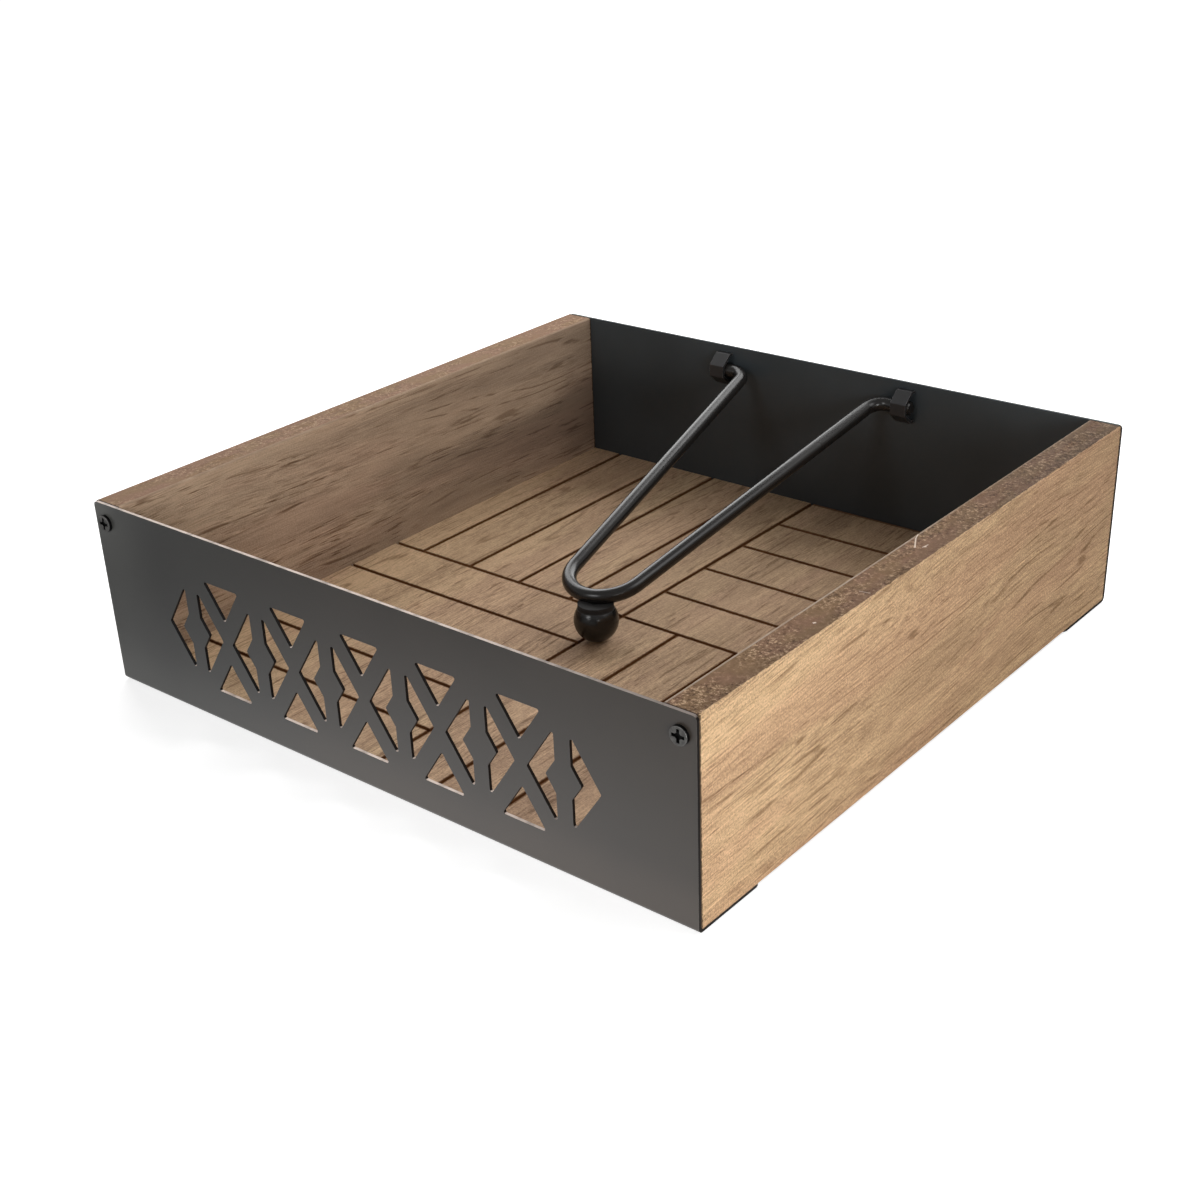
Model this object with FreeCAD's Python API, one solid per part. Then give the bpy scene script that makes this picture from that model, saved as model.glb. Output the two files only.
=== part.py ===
import FreeCAD, Part
import math
import os

# Open napkin tray: two wooden side walls and a wooden floor panel, held between an L-shaped
# steel plate at the front and another at the back, with a hinged wire arm whose ball weighs
# the napkins down.  Millimetres.  Origin: bottom centre of the tray.  X runs along the front
# plate, Y from the front to the back, Z up.

V = FreeCAD.Vector

# Tray
tray_width = 190.0          # X, over the side walls
tray_depth = 190.0          # Y, over the two steel plates
tray_height = 51.5          # Z, from the table to the top edges
sheet = 0.8                 # steel sheet of both plates
bend_inner_radius = 0.5     # where a plate turns into its flange
plate_corner_radius = 1.1   # upper corners of the plates
front_flange_depth = 23.0   # how far the front plate reaches under the tray
rear_flange_depth = 25.0
flange_corner_radius = 2.5
wall_thickness = 9.0
floor_thickness = 6.0
arris = 0.35                # broken long edges of the wooden walls

# Grooves of the floor panel, a basket weave of four blocks
groove_pitch = 18.8
groove_width = 1.0
groove_depth = 0.8

# Cut-outs of the front plate, a row of split lozenges with triangles between them
lozenge_count = 6
lozenge_pitch = 24.0
lozenge_half_width = 10.3
lozenge_half_height = 15.2
lozenge_centre_height = 24.5
stroke = 4.4                # width of a cut lozenge band, square to its edge
bridge = 4.4                # metal left at the top and bottom of each lozenge
web = 4.6                   # metal between a lozenge and the triangles beside it
cut_corner_radius = 0.5

# Screws
pan_head_diameter = 4.5
pan_head_height = 0.9
pan_head_rim_radius = 0.3
shank_diameter = 2.6
wall_screw_length = 12.0    # under the head
panel_screw_length = 5.4    # whole length of a countersunk screw
tip_length = 2.0
pan_recess_span = 3.2
flat_recess_span = 2.8
recess_width = 0.8
recess_depth = 0.5
recess_pocket_diameter = 1.6
plate_screw_drop = 5.2      # plate screws, below the tray's top edge
plate_screw_offset = 0.5    # plate screws, outwards of the walls' middle
flange_screw_inset = 11.5   # flange screws, behind the plate's outer face
panel_screw_spread = 45.0   # floor panel screws, each side of the middle
hole_clearance = 0.3        # round a shank that passes through steel
pilot_clearance = 0.03      # round a shank that bites in wood
countersink_clearance = 0.05
bottoming_clearance = 0.4   # below a screw's tip

# Hinged wire arm
wire_diameter = 4.0
wire_plate_gap = 0.3        # between the hinged wire ends and the back plate
arm_offset_x = -0.7         # arm and clips, a little left of the tray's middle
hinge_drop = 6.7            # hinge axis, below the tray's top edge
hinge_corner_x = 22.7       # where a leg's centreline would meet the hinge axis, from the arm's middle
hinge_bend_radius = 5.0
arm_reach = 98.9            # hinge axis to the centre of the nose bend
nose_bend_radius = 10.7
wire_end_overhang = 0.3     # wire end, past the outer side of its clip
wire_end_chamfer = 0.4

# Hinge clips, bent from strip and welded to the back plate
clip_spread = 31.6          # middle of each clip, each side of the arm's middle
clip_width = 4.9
clip_strip = 0.8
clip_running_clearance = 0.1
clip_shoulder = 1.4         # flat run off the plate, before the strip slopes to its nose
clip_half_height = 4.8
clip_nose_half_height = 1.4

# Ball
ball_diameter = 12.0
ball_offset_x = 4.0         # the ball hangs a little to the right of the nose bend's middle
ball_ahead = 1.0            # ball centre, ahead of the wire's centreline
ball_drop = 6.3             # ball centre, below the wire's centreline
ball_rest_gap = 0.15        # ball and floor panel, arm down
collar_diameter = 9.6
saddle_depth = 0.7          # how far the collar rises round the wire
saddle_clearance = 0.02
stud_diameter = 3.0
stud_depth = 2.0            # stud end, below the ball centre
stud_clearance = 0.05

# Places that follow from the sizes above
half_width = tray_width / 2
half_depth = tray_depth / 2
half_inner_width = half_width - wall_thickness
half_inner_depth = half_depth - sheet
floor_top = sheet + floor_thickness
wall_mid_x = half_width - wall_thickness / 2
wire_radius = wire_diameter / 2
ball_radius = ball_diameter / 2
axis_y = half_inner_depth - wire_plate_gap - wire_radius
axis_z = tray_height - hinge_drop
collar_height = ball_drop - wire_radius + saddle_depth

# The arm droops until the ball reaches the floor panel
ball_along_arm = arm_reach + math.sqrt(nose_bend_radius ** 2 - ball_offset_x ** 2)
wire_height_at_ball = floor_top + ball_rest_gap + ball_radius + ball_drop
droop = math.asin((axis_z - wire_height_at_ball) / ball_along_arm)


def box(x0, x1, y0, y1, z0, z1):
    """Box between two corners."""
    return Part.makeBox(x1 - x0, y1 - y0, z1 - z0, V(x0, y0, z0))


def prism(points, direction):
    """Straight-sided solid from a closed outline."""
    outline = Part.makePolygon(points + points[:1])
    return Part.Face(outline).extrude(direction)


def edges_along(shape, axis, test):
    """Straight edges that run along one axis, 0 for X to 2 for Z, and pass a test."""
    chosen = []
    for edge in shape.Edges:
        if not isinstance(edge.Curve, Part.Line):
            continue
        run = edge.Vertexes[1].Point - edge.Vertexes[0].Point
        if abs(run[axis]) < 0.999 * run.Length:
            continue
        if test(edge.CenterOfMass):
            chosen.append(edge)
    return chosen


# ---------------------------------------------------------------- screws

def cross_recess(span):
    """Cross cut into a screw head whose top is at z = 0."""
    slot = box(-span / 2, span / 2, -recess_width / 2, recess_width / 2, -recess_depth, 1)
    turned = slot.copy()
    turned.rotate(V(0, 0, 0), V(0, 0, 1), 90)
    pocket = Part.makeCylinder(recess_pocket_diameter / 2, recess_depth + 1, V(0, 0, -recess_depth))
    return slot.fuse([turned, pocket]).removeSplitter()


def shank(length):
    """Shank with a point, downwards from z = 0."""
    radius = shank_diameter / 2
    straight = Part.makeCylinder(radius, length - tip_length, V(0, 0, tip_length - length))
    tip = Part.makeCone(0, radius, tip_length, V(0, 0, -length))
    return straight.fuse(tip)


def pan_screw():
    """Pan-head screw, its seat at z = 0 and its head above."""
    head = Part.makeCylinder(pan_head_diameter / 2, pan_head_height)
    rim = [edge for edge in head.Edges if edge.CenterOfMass.z > 0.9 * pan_head_height and edge.Closed]
    head = head.makeFillet(pan_head_rim_radius, rim)
    recess = cross_recess(pan_recess_span)
    recess.translate(V(0, 0, pan_head_height))
    return head.cut(recess).fuse(shank(wall_screw_length)).removeSplitter()


def flat_screw(length):
    """Countersunk screw as deep in its head as the sheet, the head's flat top at z = 0."""
    radius = shank_diameter / 2
    head = Part.makeCone(radius, radius + sheet, sheet, V(0, 0, -sheet))
    body = head.fuse(shank(length))
    return body.cut(cross_recess(flat_recess_span)).removeSplitter()


def pilot_hole(length):
    """Hole in wood for a shank that points down from z = 0."""
    depth = length + bottoming_clearance
    return Part.makeCylinder(shank_diameter / 2 + pilot_clearance, depth, V(0, 0, -depth))


def clearance_hole():
    """Hole in the sheet round a pan-head screw's shank."""
    return Part.makeCylinder(shank_diameter / 2 + hole_clearance, 3 * sheet, V(0, 0, -2 * sheet))


def countersink():
    """Countersunk hole in the sheet, its wide end at z = 0."""
    radius = shank_diameter / 2 + countersink_clearance
    return Part.makeCone(radius, radius + sheet, sheet, V(0, 0, -sheet))


def onto_plate(shape, side_x, side_y):
    """Turn a screw or hole outwards and set it on a plate screw's place."""
    place_x = side_x * (wall_mid_x + plate_screw_offset)
    placed = shape.copy()
    placed.rotate(V(0, 0, 0), V(1, 0, 0), -90 * side_y)
    placed.translate(V(place_x, side_y * half_depth, tray_height - plate_screw_drop))
    return placed


def under_flange(shape, x, side_y):
    """Turn a screw or hole upside down and set it under a flange."""
    placed = shape.copy()
    placed.rotate(V(0, 0, 0), V(1, 0, 0), 180)
    placed.translate(V(x, side_y * (half_depth - flange_screw_inset), 0))
    return placed


# ---------------------------------------------------------------- steel plates

def bent_plate(flange_depth, side_y):
    """L-shaped plate with its screw holes: side_y is -1 at the front and 1 at the back."""
    outer = bend_inner_radius + sheet
    diagonal = math.sqrt(0.5)

    def point(inwards, z):
        return V(-half_width, side_y * (half_depth - inwards), z)

    def bend(radius):
        reach = outer - radius * diagonal
        return point(reach, reach)

    outline = [
        Part.makeLine(point(0, tray_height), point(0, outer)),
        Part.Arc(point(0, outer), bend(outer), point(outer, 0)).toShape(),
        Part.makeLine(point(outer, 0), point(flange_depth, 0)),
        Part.makeLine(point(flange_depth, 0), point(flange_depth, sheet)),
        Part.makeLine(point(flange_depth, sheet), point(outer, sheet)),
        Part.Arc(point(outer, sheet), bend(bend_inner_radius), point(sheet, outer)).toShape(),
        Part.makeLine(point(sheet, outer), point(sheet, tray_height)),
        Part.makeLine(point(sheet, tray_height), point(0, tray_height)),
    ]
    plate = Part.Face(Part.Wire(outline)).extrude(V(tray_width, 0, 0))
    upper = edges_along(plate, 1, lambda middle: middle.z > tray_height - sheet)
    plate = plate.makeFillet(plate_corner_radius, upper)
    flange_end = half_depth - flange_depth + sheet
    lower = edges_along(plate, 2, lambda middle: abs(middle.y) < flange_end)
    plate = plate.makeFillet(flange_corner_radius, lower)
    for side_x in (-1, 1):
        plate = plate.cut(onto_plate(clearance_hole(), side_x, side_y))
        plate = plate.cut(under_flange(countersink(), side_x * wall_mid_x, side_y))
        plate = plate.cut(under_flange(countersink(), side_x * panel_screw_spread, side_y))
    return plate


def lozenge_band():
    """One split lozenge: a left and a right chevron, centred on the origin in the XZ plane."""
    slope = math.hypot(lozenge_half_width, lozenge_half_height)
    edge_distance = lozenge_half_width * lozenge_half_height / slope
    inner = 1 - stroke / edge_distance
    chevrons = []
    for side_x in (-1, 1):
        start = bridge / 2
        outer_z = lozenge_half_height * (1 - start / lozenge_half_width)
        inner_half_width = inner * lozenge_half_width
        inner_z = lozenge_half_height * (inner - start / lozenge_half_width)
        outline = [V(side_x * start, 0, outer_z), V(side_x * lozenge_half_width, 0, 0),
                   V(side_x * start, 0, -outer_z)]
        if inner_z > 0:
            outline += [V(side_x * start, 0, -inner_z), V(side_x * inner_half_width, 0, 0),
                        V(side_x * start, 0, inner_z)]
        chevrons.append(prism(outline, V(0, 3 * sheet, 0)))
    return chevrons


def gap_triangle(side_z):
    """Triangle between two lozenges, above or below them, its sides parallel to theirs."""
    slope = math.hypot(lozenge_half_width, lozenge_half_height)
    rise_per_width = lozenge_half_height / lozenge_half_width
    side_shift = web * slope / lozenge_half_height
    half_base = lozenge_pitch / 2 - side_shift
    tip_z = lozenge_half_height - half_base * rise_per_width
    outline = [V(-half_base, 0, side_z * lozenge_half_height), V(half_base, 0, side_z * lozenge_half_height),
               V(0, 0, side_z * tip_z)]
    return prism(outline, V(0, 3 * sheet, 0))


def ornament():
    """Cutters for the front plate's row of lozenges and triangles."""
    cutters = []
    first_x = -lozenge_pitch * (lozenge_count - 1) / 2
    for i in range(lozenge_count):
        place = V(first_x + i * lozenge_pitch, -half_depth - sheet, lozenge_centre_height)
        for chevron in lozenge_band():
            cutters.append((chevron, place))
        if i < lozenge_count - 1:
            between = place + V(lozenge_pitch / 2, 0, 0)
            cutters.append((gap_triangle(1), between))
            cutters.append((gap_triangle(-1), between))
    placed = []
    for cutter, place in cutters:
        rounded = cutter.makeFillet(cut_corner_radius, edges_along(cutter, 1, lambda middle: True))
        rounded.translate(place)
        placed.append(rounded)
    return placed


# ---------------------------------------------------------------- wooden pieces

def side_wall(side_x):
    """Side wall, with its pilot holes and with its lower ends cut back for the plates' bends."""
    wall = box(-wall_thickness / 2, wall_thickness / 2, -half_inner_depth, half_inner_depth,
               sheet, tray_height)
    bend_relief = edges_along(wall, 0, lambda middle: middle.z < tray_height / 2)
    wall = wall.makeChamfer(bend_inner_radius, bend_relief)
    wall = wall.makeChamfer(arris, edges_along(wall, 1, lambda middle: middle.z > tray_height / 2))
    wall.translate(V(side_x * wall_mid_x, 0, 0))
    for side_y in (-1, 1):
        wall = wall.cut(onto_plate(pilot_hole(wall_screw_length), side_x, side_y))
        wall = wall.cut(under_flange(pilot_hole(wall_screw_length), side_x * wall_mid_x, side_y))
    return wall


def groove_along_x(x0, x1, y):
    """Cutter for a groove that runs along X."""
    return box(x0, x1, y - groove_width / 2, y + groove_width / 2, floor_top - groove_depth, floor_top + 1)


def groove_along_y(x, y0, y1):
    """Cutter for a groove that runs along Y."""
    return box(x - groove_width / 2, x + groove_width / 2, y0, y1, floor_top - groove_depth, floor_top + 1)


def floor_panel():
    """Floor panel with its basket-weave grooves."""
    panel = box(-half_inner_width, half_inner_width, -half_inner_depth, half_inner_depth, sheet, floor_top)
    bend_relief = edges_along(panel, 0, lambda middle: middle.z < floor_top / 2)
    panel = panel.makeChamfer(bend_inner_radius, bend_relief)
    end_x = half_inner_width + groove_width
    end_y = half_inner_depth + groove_width
    grooves = [groove_along_x(-end_x, end_x, 0), groove_along_y(0, -end_y, end_y)]
    step = 1
    while step * groove_pitch < max(half_inner_width, half_inner_depth) - groove_width:
        place = step * groove_pitch
        if place < half_inner_width - groove_width:
            grooves.append(groove_along_y(-place, 0, end_y))
            grooves.append(groove_along_y(place, -end_y, 0))
        if place < half_inner_depth - groove_width:
            grooves.append(groove_along_x(0, end_x, place))
            grooves.append(groove_along_x(-end_x, 0, -place))
        step += 1
    panel = panel.cut(grooves)
    for side_y in (-1, 1):
        for side_x in (-1, 1):
            hole = pilot_hole(panel_screw_length)
            panel = panel.cut(under_flange(hole, side_x * panel_screw_spread, side_y))
    return panel


# ---------------------------------------------------------------- hinge clips

def shifted(points, distance):
    """Open outline in (y, z), shifted to its left by a distance, with mitred corners."""
    lines = []
    for (y0, z0), (y1, z1) in zip(points, points[1:]):
        length = math.hypot(y1 - y0, z1 - z0)
        side = (-(z1 - z0) / length * distance, (y1 - y0) / length * distance)
        lines.append(((y0 + side[0], z0 + side[1]), (y1 + side[0], z1 + side[1])))
    corners = [lines[0][0]]
    for ((ay, az), (by, bz)), ((cy, cz), (dy, dz)) in zip(lines, lines[1:]):
        turn = (by - ay) * (dz - cz) - (bz - az) * (dy - cy)
        share = ((cy - ay) * (dz - cz) - (cz - az) * (dy - cy)) / turn
        corners.append((ay + share * (by - ay), az + share * (bz - az)))
    corners.append(lines[-1][1])
    return corners


def hinge_clip(side_x):
    """Bent strip round a wire end: shoulder, slope, nose, slope and shoulder."""
    nose_y = axis_y - wire_radius - clip_running_clearance
    shoulder_y = half_inner_depth - clip_shoulder
    top = clip_half_height - clip_strip
    inner = [(half_inner_depth, axis_z + top), (shoulder_y, axis_z + top),
             (nose_y, axis_z + clip_nose_half_height), (nose_y, axis_z - clip_nose_half_height),
             (shoulder_y, axis_z - top), (half_inner_depth, axis_z - top)]
    outer = shifted(inner, -clip_strip)
    left = arm_offset_x + side_x * clip_spread - clip_width / 2
    outline = [V(left, y, z) for y, z in inner + outer[::-1]]
    clip = prism(outline, V(clip_width, 0, 0))
    off_plate = half_inner_depth - clip_strip / 4
    bends = edges_along(clip, 0, lambda middle: middle.y < off_plate)
    return clip.makeFillet(clip_strip / 3, bends)


# ---------------------------------------------------------------- arm

def arm_point(x, along):
    """Point of the arm's plane at rest, by its X from the arm's middle and its distance from the hinge."""
    return V(arm_offset_x + x, axis_y - along * math.cos(droop), axis_z - along * math.sin(droop))


def wire_path():
    """Centreline of the wire: end, hinge bend, leg, nose bend, leg, hinge bend, end."""
    end_x = clip_spread + clip_width / 2 + wire_end_overhang
    to_centre = math.hypot(hinge_corner_x, arm_reach)
    leg_length = math.sqrt(to_centre ** 2 - nose_bend_radius ** 2)
    leg_angle = math.atan2(arm_reach, -hinge_corner_x) - math.asin(nose_bend_radius / to_centre)
    leg = (math.cos(leg_angle), math.sin(leg_angle))
    setback = hinge_bend_radius * math.tan((math.pi - leg_angle) / 2)
    centre = (hinge_corner_x + setback, hinge_bend_radius)
    to_corner = math.hypot(setback, hinge_bend_radius)
    middle = (centre[0] - setback / to_corner * hinge_bend_radius,
              centre[1] - hinge_bend_radius / to_corner * hinge_bend_radius)
    half = [(end_x, 0), (hinge_corner_x + setback, 0), middle,
            (hinge_corner_x + setback * leg[0], setback * leg[1]),
            (hinge_corner_x + leg_length * leg[0], leg_length * leg[1])]
    right = [arm_point(x, along) for x, along in half]
    left = [arm_point(-x, along) for x, along in half]
    nose = arm_point(0, arm_reach + nose_bend_radius)
    return Part.Wire([
        Part.makeLine(right[0], right[1]),
        Part.Arc(right[1], right[2], right[3]).toShape(),
        Part.makeLine(right[3], right[4]),
        Part.Arc(right[4], nose, left[4]).toShape(),
        Part.makeLine(left[4], left[3]),
        Part.Arc(left[3], left[2], left[1]).toShape(),
        Part.makeLine(left[1], left[0]),
    ])


def wire_solid(radius):
    """Round wire of a radius along the arm's centreline."""
    path = wire_path()
    start = path.Edges[0].Vertexes[0].Point
    circle = Part.makeCircle(radius, start, V(1, 0, 0))
    return path.makePipeShell([Part.Wire(circle)], True, True)


def arm_wire():
    """The bent wire, its two ends chamfered."""
    wire = wire_solid(wire_radius)
    ends = [edge for edge in wire.Edges if edge.Closed and abs(edge.CenterOfMass.x - arm_offset_x) > clip_spread
            and abs(edge.CenterOfMass.y - axis_y) < 0.01 and edge.BoundBox.XLength < 0.01]
    return wire.makeChamfer(wire_end_chamfer, ends)


def ball_centre():
    """Centre of the ball, below the nose bend and a little ahead of it."""
    return arm_point(ball_offset_x, ball_along_arm) - V(0, ball_ahead, ball_drop)


def ball_stud():
    """Stud welded under the wire, reaching into the ball."""
    foot = ball_centre() - V(0, 0, stud_depth)
    stud = Part.makeCylinder(stud_diameter / 2, stud_depth + collar_height, foot)
    return stud.cut(wire_solid(wire_radius))


def weight_ball():
    """Ball with a collar that the wire lies on, bored for the stud."""
    centre = ball_centre()
    ball = Part.makeSphere(ball_radius, centre)
    collar = Part.makeCylinder(collar_diameter / 2, collar_height, centre)
    bore_depth = stud_depth + bottoming_clearance
    bore = Part.makeCylinder(stud_diameter / 2 + stud_clearance, bore_depth + ball_drop,
                             centre - V(0, 0, bore_depth))
    above_collar = Part.makeCylinder(ball_radius, ball_radius, centre + V(0, 0, collar_height))
    saddle = wire_solid(wire_radius + saddle_clearance)
    return ball.fuse(collar).cut([above_collar, bore, saddle]).removeSplitter()


# ---------------------------------------------------------------- assembly

def build():
    """All pieces by node name."""
    pieces = {
        "front_plate": bent_plate(front_flange_depth, -1).cut(ornament()),
        "back_plate": bent_plate(rear_flange_depth, 1),
        "left_wall": side_wall(-1),
        "right_wall": side_wall(1),
        "floor_panel": floor_panel(),
        "left_hinge_clip": hinge_clip(-1),
        "right_hinge_clip": hinge_clip(1),
        "arm_wire": arm_wire(),
        "ball_stud": ball_stud(),
        "weight_ball": weight_ball(),
    }
    for side_y, end in ((-1, "front"), (1, "rear")):
        for side_x, hand in ((-1, "left"), (1, "right")):
            wall_screw = flat_screw(wall_screw_length)
            panel_screw = flat_screw(panel_screw_length)
            pieces[f"{end}_{hand}_plate_screw"] = onto_plate(pan_screw(), side_x, side_y)
            pieces[f"{end}_{hand}_wall_screw"] = under_flange(wall_screw, side_x * wall_mid_x, side_y)
            pieces[f"{end}_{hand}_panel_screw"] = under_flange(panel_screw, side_x * panel_screw_spread, side_y)
    return pieces


os.makedirs("parts", exist_ok=True)
for name, shape in build().items():
    if len(shape.Solids) == 1:
        shape = shape.Solids[0]
    shape.exportStep(f"parts/{name}.step")
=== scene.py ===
import math
from typing import NamedTuple
import bpy
from mathutils import Matrix, Vector


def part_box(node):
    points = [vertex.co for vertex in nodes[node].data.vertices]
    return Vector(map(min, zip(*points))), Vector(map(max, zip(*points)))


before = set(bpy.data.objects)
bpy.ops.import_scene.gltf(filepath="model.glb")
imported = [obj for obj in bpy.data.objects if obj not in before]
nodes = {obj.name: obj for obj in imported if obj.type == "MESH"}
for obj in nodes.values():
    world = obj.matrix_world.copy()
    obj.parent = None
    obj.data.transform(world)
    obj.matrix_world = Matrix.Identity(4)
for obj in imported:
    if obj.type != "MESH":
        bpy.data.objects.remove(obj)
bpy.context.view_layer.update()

# Lengths and places are in metres, powers in watts, and tones are linear.

# ---------------------------------------------------------------- camera
PICTURE_SIDE = 1200            # pixels
FOCAL_LENGTH = 1749.6          # pixels
OPTICAL_AXIS = (570, 650)      # pixels, from the top left
SENSOR = 36.0                  # millimetres
CAMERA_PLACE = (0.26829, -0.32927, 0.21911)
YAW, PITCH, ROLL = (math.radians(angle) for angle in (-41.143, 27.591, -2.768))
CLIP_NEAR, CLIP_FAR = 0.01, 20


def add_camera():
    """A camera whose optical axis is off the picture's middle, so that its lens is shifted."""
    forward = Vector((math.sin(YAW) * math.cos(PITCH), math.cos(YAW) * math.cos(PITCH), -math.sin(PITCH)))
    level = Vector((math.cos(YAW), -math.sin(YAW), 0))
    above = level.cross(forward)
    right = math.cos(ROLL) * level + math.sin(ROLL) * above
    up = math.cos(ROLL) * above - math.sin(ROLL) * level
    data = bpy.data.cameras.new("camera")
    data.sensor_width = SENSOR
    data.lens = FOCAL_LENGTH / PICTURE_SIDE * SENSOR
    data.shift_x = 0.5 - OPTICAL_AXIS[0] / PICTURE_SIDE
    data.shift_y = OPTICAL_AXIS[1] / PICTURE_SIDE - 0.5
    data.clip_start, data.clip_end = CLIP_NEAR, CLIP_FAR
    camera = bpy.data.objects.new("camera", data)
    bpy.context.scene.collection.objects.link(camera)
    turned = Matrix((right, up, -forward)).transposed().to_4x4()
    camera.matrix_world = Matrix.Translation(CAMERA_PLACE) @ turned
    bpy.context.scene.camera = camera


# ---------------------------------------------------------------- node trees
SEED_STEP = (1.0, 1.7, 2.3)    # how far along X, Y and Z a noise is moved for each 1 of its seed
MIX_SHARE, MIX_FIRST, MIX_SECOND, MIX_COLOUR = 0, 6, 7, 2    # a Mix node's sockets for colours
BEVEL_SAMPLES = 4


class Noise(NamedTuple):
    """A kind of noise, and its values between which the marks it makes come in."""
    size: tuple                # its grains' length along X, Y and Z, or one length for all three
    seed: float
    detail: float = 2
    rough: float = 0.5
    shows: tuple = (0.0, 1.0)


class Fade(NamedTuple):
    """A value that is low where an axis is at start and high where it is at end."""
    axis: str                  # "x", "y" or "z"
    start: float
    end: float
    low: float = 0.0
    high: float = 1.0
    middle: float = None       # if given, start and end are distances from it


def along_y(width, length):
    """The size of grains that lie along Y."""
    return width, length, width


class Nodes:
    """A node tree whose nodes are added by short calls; each call gives back a socket."""

    def __init__(self, tree):
        self.tree = tree

    def put(self, socket, value):
        if isinstance(value, bpy.types.NodeSocket):
            self.tree.links.new(value, socket)
        elif isinstance(value, tuple) and len(value) == 3 and socket.type == "RGBA":
            socket.default_value = (*value, 1)
        else:
            socket.default_value = value

    def add(self, kind, inputs=None, **settings):
        node = self.tree.nodes.new("ShaderNode" + kind)
        for name, value in settings.items():
            setattr(node, name, value)
        for name, value in (inputs or {}).items():
            self.put(node.inputs[name], value)
        return node

    def math(self, operation, first, *others, clamp=False):
        """One operation on all the values, from left to right."""
        for other in others:
            first = self.add("Math", {0: first, 1: other}, operation=operation, use_clamp=clamp).outputs[0]
        return first

    def single(self, operation, value):
        """One operation on one value."""
        return self.add("Math", {0: value}, operation=operation).outputs[0]

    def plus(self, *values):
        return self.math("ADD", *values)

    def minus(self, a, b, clamp=False):
        return self.math("SUBTRACT", a, b, clamp=clamp)

    def times(self, *values):
        return self.math("MULTIPLY", *values)

    def least(self, *values):
        return self.math("MINIMUM", *values)

    def most(self, *values):
        return self.math("MAXIMUM", *values)

    def away(self, value, middle=0.0):
        """How far a value is from middle, on either side."""
        if middle:
            value = self.minus(value, middle)
        return self.single("ABSOLUTE", value)

    def fade(self, value, start, end, low=0.0, high=1.0, shape="SMOOTHSTEP"):
        """low where value is at start, high where it is at end, and changing evenly or by shape between."""
        inputs = {"Value": value, "From Min": start, "From Max": end, "To Min": low, "To Max": high}
        return self.add("MapRange", inputs, interpolation_type=shape).outputs["Result"]

    def axes(self, vector):
        return self.add("SeparateXYZ", {0: vector}).outputs

    def vector(self, x, y, z):
        return self.add("CombineXYZ", {0: x, 1: y, 2: z}).outputs[0]

    def blend(self, share, a, b):
        """A number between two numbers."""
        return self.add("Mix", {"Factor": share, "A": a, "B": b}).outputs[0]

    def mix(self, share, a, b, blend="MIX"):
        """A colour between two colours."""
        node = self.add("Mix", data_type="RGBA", blend_type=blend)
        self.put(node.inputs[MIX_SHARE], share)
        self.put(node.inputs[MIX_FIRST], a)
        self.put(node.inputs[MIX_SECOND], b)
        return node.outputs[MIX_COLOUR]

    def tinted(self, colour, tint):
        return self.mix(1.0, colour, tint, "MULTIPLY")


class Shader(Nodes):
    """A material. x, y and z are a point's place, and facing_x, facing_y and facing_z its normal."""

    def __init__(self, name):
        self.material = bpy.data.materials.new(name)
        self.material.use_nodes = True
        super().__init__(self.material.node_tree)
        self.surface = self.tree.nodes["Principled BSDF"]
        point = self.add("TexCoord").outputs
        self.where = point["Object"]
        self.x, self.y, self.z = self.axes(self.where)
        self.facing_x, self.facing_y, self.facing_z = self.axes(point["Normal"])

    def noise(self, kind, seed=0, where=None, stretch=1.0):
        """A noise of one kind, with seed added to its own and its grains stretched along Y."""
        x, y, z = kind.size if isinstance(kind.size, tuple) else (kind.size,) * 3
        inputs = {"Vector": where or self.where,
                  "Location": tuple(step * (seed + kind.seed) for step in SEED_STEP),
                  "Scale": (1 / x, 1 / (y * stretch), 1 / z)}
        at = self.add("Mapping", inputs).outputs[0]
        inputs = {"Vector": at, "Scale": 1.0, "Detail": kind.detail, "Roughness": kind.rough}
        return self.add("TexNoise", inputs).outputs[0]

    def shown(self, kind, low=0.0, high=1.0, **others):
        """low where a noise's marks don't show, high where they do."""
        return self.fade(self.noise(kind, **others), *kind.shows, low, high)

    def by_place(self, patches):
        """The sum of the patches, each of them the product of its fades."""
        place = {"x": self.x, "y": self.y, "z": self.z}
        levels = []
        for fades in patches.values():
            parts = []
            for axis, start, end, low, high, middle in fades:
                value = place[axis] if middle is None else self.away(place[axis], middle)
                parts.append(self.fade(value, start, end, low, high))
            levels.append(self.times(*parts))
        return self.plus(*levels)

    def bump(self, height, depth, normal=None):
        """The normal of a relief whose height goes from 0 to 1 over depth."""
        inputs = {"Height": height, "Distance": depth, "Strength": 1.0}
        if normal:
            inputs["Normal"] = normal
        return self.add("Bump", inputs).outputs[0]

    def rounded(self, radius):
        """The normal of edges that are rounded by radius."""
        return self.add("Bevel", {"Radius": radius}, samples=BEVEL_SAMPLES).outputs[0]

    def finish(self, **inputs):
        """Put the values on the surface; base_color stands for its socket Base Color, and so on."""
        for name, value in inputs.items():
            socket = name.replace("_", " ").title().replace("Ior", "IOR")
            self.put(self.surface.inputs[socket], value)
        return self.material


# In the functions below, s is the Shader that they add nodes to.

# ---------------------------------------------------------------- stage and light
class Patch(NamedTuple):
    """A round patch of the floor that glows in reflections."""
    x: float
    y: float
    share_of_x: float          # how much a length along X counts in its radius
    radius: float
    glow: tuple                # at its middle and past its radius


class Lamp(NamedTuple):
    """A square lamp that is turned to the tray."""
    direction: tuple           # of the lamp from the tray
    distance: float
    side: float
    power: float


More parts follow.
